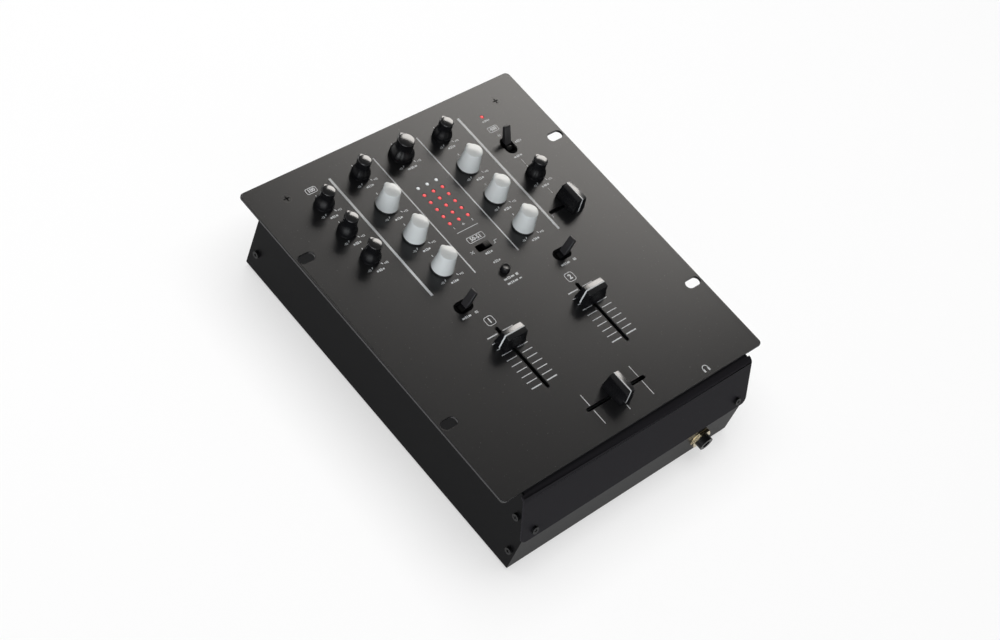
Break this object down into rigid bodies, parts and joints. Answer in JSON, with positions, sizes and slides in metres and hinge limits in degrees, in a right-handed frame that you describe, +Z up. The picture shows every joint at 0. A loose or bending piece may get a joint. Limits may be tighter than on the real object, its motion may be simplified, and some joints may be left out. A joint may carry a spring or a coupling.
{
  "type": "dj mixer",
  "caption": "Tabletop DJ mixer: slotted faceplate over a shallow steel case with a leaning front, turning knobs, sliding faders, toggles, a push button, LED meter, jacks and rear sockets.",
  "frame": {"origin": "centre of the faceplate's top surface, which is the centre of its four mounting slots", "axes": "+X to the player's right, +Y towards the rear sockets, +Z up out of the faceplate"},
  "size_m": [0.254, 0.3108, 0.0953],
  "materials": {
    "plate_paint": "satin dark grey",
    "case_paint": "satin near black",
    "front_paint": "satin charcoal",
    "foot_rubber": "matte black",
    "black_screw": "black oxide, semi-gloss",
    "zinc_body": "zinc plated",
    "switch_plastic": "black, fine grain",
    "red_led": "red lens, lit",
    "clear_led": "clear lens",
    "circuit_board": "green solder mask",
    "jack_plastic": "black",
    "nut_metal": "nickel plated, bright",
    "socket_metal": "nickel plated",
    "rocker_plastic": "black, satin",
    "button_plastic": "black, satin",
    "black_knob": "black, satin",
    "white_knob": "pale grey, satin, with a black skirt",
    "shaft_metal": "turned",
    "fader_cap": "black, with a pale index band",
    "toggle_plastic": "black, satin"
  },
  "bodies": {
    "case": {"faceplate": "plate_paint", "chassis": "case_paint", "front_panel": "front_paint", "rear_panel": "case_paint", "rubber_feet": "foot_rubber", "faceplate_screws": "black_screw", "case_screws": "black_screw", "potentiometer_bodies": "zinc_body", "fader_bodies": "zinc_body", "switch_bodies": "switch_plastic", "red_leds": "red_led", "clear_leds": "clear_led", "main_board": "circuit_board", "jack_board": "circuit_board", "phone_jacks": "jack_plastic", "phone_jack_nuts": "nut_metal", "phono_sockets": "socket_metal", "ground_posts": "socket_metal", "dc_inlet": "jack_plastic", "power_switch_housing": "rocker_plastic"},
    "mic_gain": {"mic_gain_knob": "black_knob", "mic_gain_shaft": "shaft_metal"},
    "mic_treble": {"mic_treble_knob": "black_knob", "mic_treble_shaft": "shaft_metal"},
    "mic_bass": {"mic_bass_knob": "black_knob", "mic_bass_shaft": "shaft_metal"},
    "channel_1_gain": {"channel_1_gain_knob": "black_knob", "channel_1_gain_shaft": "shaft_metal"},
    "channel_1_treble": {"channel_1_treble_knob": "white_knob", "channel_1_treble_shaft": "shaft_metal"},
    "channel_1_mid": {"channel_1_mid_knob": "white_knob", "channel_1_mid_shaft": "shaft_metal"},
    "channel_1_bass": {"channel_1_bass_knob": "white_knob", "channel_1_bass_shaft": "shaft_metal"},
    "channel_2_gain": {"channel_2_gain_knob": "black_knob", "channel_2_gain_shaft": "shaft_metal"},
    "channel_2_treble": {"channel_2_treble_knob": "white_knob", "channel_2_treble_shaft": "shaft_metal"},
    "channel_2_mid": {"channel_2_mid_knob": "white_knob", "channel_2_mid_shaft": "shaft_metal"},
    "channel_2_bass": {"channel_2_bass_knob": "white_knob", "channel_2_bass_shaft": "shaft_metal"},
    "master": {"master_knob": "black_knob", "master_shaft": "shaft_metal"},
    "phones": {"phones_knob": "black_knob", "phones_shaft": "shaft_metal"},
    "channel_1_fader": {"channel_1_fader_cap": "fader_cap", "channel_1_fader_carriage": "shaft_metal"},
    "channel_2_fader": {"channel_2_fader_cap": "fader_cap", "channel_2_fader_carriage": "shaft_metal"},
    "crossfader": {"crossfader_cap": "fader_cap", "crossfader_carriage": "shaft_metal"},
    "phones_mix": {"phones_mix_cap": "fader_cap", "phones_mix_carriage": "shaft_metal"},
    "channel_1_toggle": {"channel_1_toggle_lever": "toggle_plastic"},
    "channel_2_toggle": {"channel_2_toggle_lever": "toggle_plastic"},
    "cue_toggle": {"cue_toggle_lever": "toggle_plastic"},
    "curve_switch": {"curve_switch": "button_plastic"},
    "push_button": {"push_button": "button_plastic"},
    "power_rocker": {"power_rocker": "rocker_plastic"}
  },
  "joints": [
    {"name": "mic_gain_turn", "type": "hinge", "parent": "case", "child": "mic_gain", "pos_m": [-0.0791, 0.1076, 0], "axis": [0, 0, -1], "range_deg": [-150, 150]},
    {"name": "mic_treble_turn", "type": "hinge", "parent": "case", "child": "mic_treble", "pos_m": [-0.0791, 0.0815, 0], "axis": [0, 0, -1], "range_deg": [-150, 150]},
    {"name": "mic_bass_turn", "type": "hinge", "parent": "case", "child": "mic_bass", "pos_m": [-0.0791, 0.0554, 0], "axis": [0, 0, -1], "range_deg": [-150, 150]},
    {"name": "channel_1_gain_turn", "type": "hinge", "parent": "case", "child": "channel_1_gain", "pos_m": [-0.0388, 0.1171, 0], "axis": [0, 0, -1], "range_deg": [-150, 150]},
    {"name": "channel_1_treble_turn", "type": "hinge", "parent": "case", "child": "channel_1_treble", "pos_m": [-0.0388, 0.0864, 0], "axis": [0, 0, -1], "range_deg": [-150, 150]},
    {"name": "channel_1_mid_turn", "type": "hinge", "parent": "case", "child": "channel_1_mid", "pos_m": [-0.0388, 0.0553, 0], "axis": [0, 0, -1], "range_deg": [-150, 150]},
    {"name": "channel_1_bass_turn", "type": "hinge", "parent": "case", "child": "channel_1_bass", "pos_m": [-0.0388, 0.0242, 0], "axis": [0, 0, -1], "range_deg": [-150, 150]},
    {"name": "channel_2_gain_turn", "type": "hinge", "parent": "case", "child": "channel_2_gain", "pos_m": [0.0388, 0.1171, 0], "axis": [0, 0, -1], "range_deg": [-150, 150]},
    {"name": "channel_2_treble_turn", "type": "hinge", "parent": "case", "child": "channel_2_treble", "pos_m": [0.0388, 0.0864, 0], "axis": [0, 0, -1], "range_deg": [-150, 150]},
    {"name": "channel_2_mid_turn", "type": "hinge", "parent": "case", "child": "channel_2_mid", "pos_m": [0.0388, 0.0553, 0], "axis": [0, 0, -1], "range_deg": [-150, 150]},
    {"name": "channel_2_bass_turn", "type": "hinge", "parent": "case", "child": "channel_2_bass", "pos_m": [0.0388, 0.0242, 0], "axis": [0, 0, -1], "range_deg": [-150, 150]},
    {"name": "master_turn", "type": "hinge", "parent": "case", "child": "master", "pos_m": [0, 0.1174, 0], "axis": [0, 0, -1], "range_deg": [-150, 150]},
    {"name": "phones_turn", "type": "hinge", "parent": "case", "child": "phones", "pos_m": [0.0791, 0.0561, 0], "axis": [0, 0, -1], "range_deg": [-150, 150]},
    {"name": "channel_1_fader_slide", "type": "slide", "parent": "case", "child": "channel_1_fader", "axis": [0, 1, 0], "range_m": [-0.0372, 0.0098]},
    {"name": "channel_2_fader_slide", "type": "slide", "parent": "case", "child": "channel_2_fader", "axis": [0, 1, 0], "range_m": [-0.0372, 0.0098]},
    {"name": "crossfader_slide", "type": "slide", "parent": "case", "child": "crossfader", "axis": [1, 0, 0], "range_m": [-0.0235, 0.0235]},
    {"name": "phones_mix_slide", "type": "slide", "parent": "case", "child": "phones_mix", "axis": [1, 0, 0], "range_m": [-0.015, 0.005]},
    {"name": "channel_1_toggle_tip", "type": "hinge", "parent": "case", "child": "channel_1_toggle", "pos_m": [-0.0475, -0.009, -0.005], "axis": [0, 1, 0], "range_deg": [-28, 0]},
    {"name": "channel_2_toggle_tip", "type": "hinge", "parent": "case", "child": "channel_2_toggle", "pos_m": [0.0475, -0.009, -0.005], "axis": [0, 1, 0], "range_deg": [-28, 0]},
    {"name": "cue_toggle_tip", "type": "hinge", "parent": "case", "child": "cue_toggle", "pos_m": [0.0791, 0.0865, -0.005], "axis": [-1, 0, 0], "range_deg": [-48, 0]},
    {"name": "curve_switch_slide", "type": "slide", "parent": "case", "child": "curve_switch", "axis": [1, 0, 0], "range_m": [-0.0052, 0]},
    {"name": "push_button_press", "type": "slide", "parent": "case", "child": "push_button", "axis": [0, 0, -1], "range_m": [0, 0.0025]},
    {"name": "power_rocker_tip", "type": "hinge", "parent": "case", "child": "power_rocker", "pos_m": [-0.092, 0.1329, -0.039], "axis": [1, 0, 0], "range_deg": [0, 22]}
  ]
}
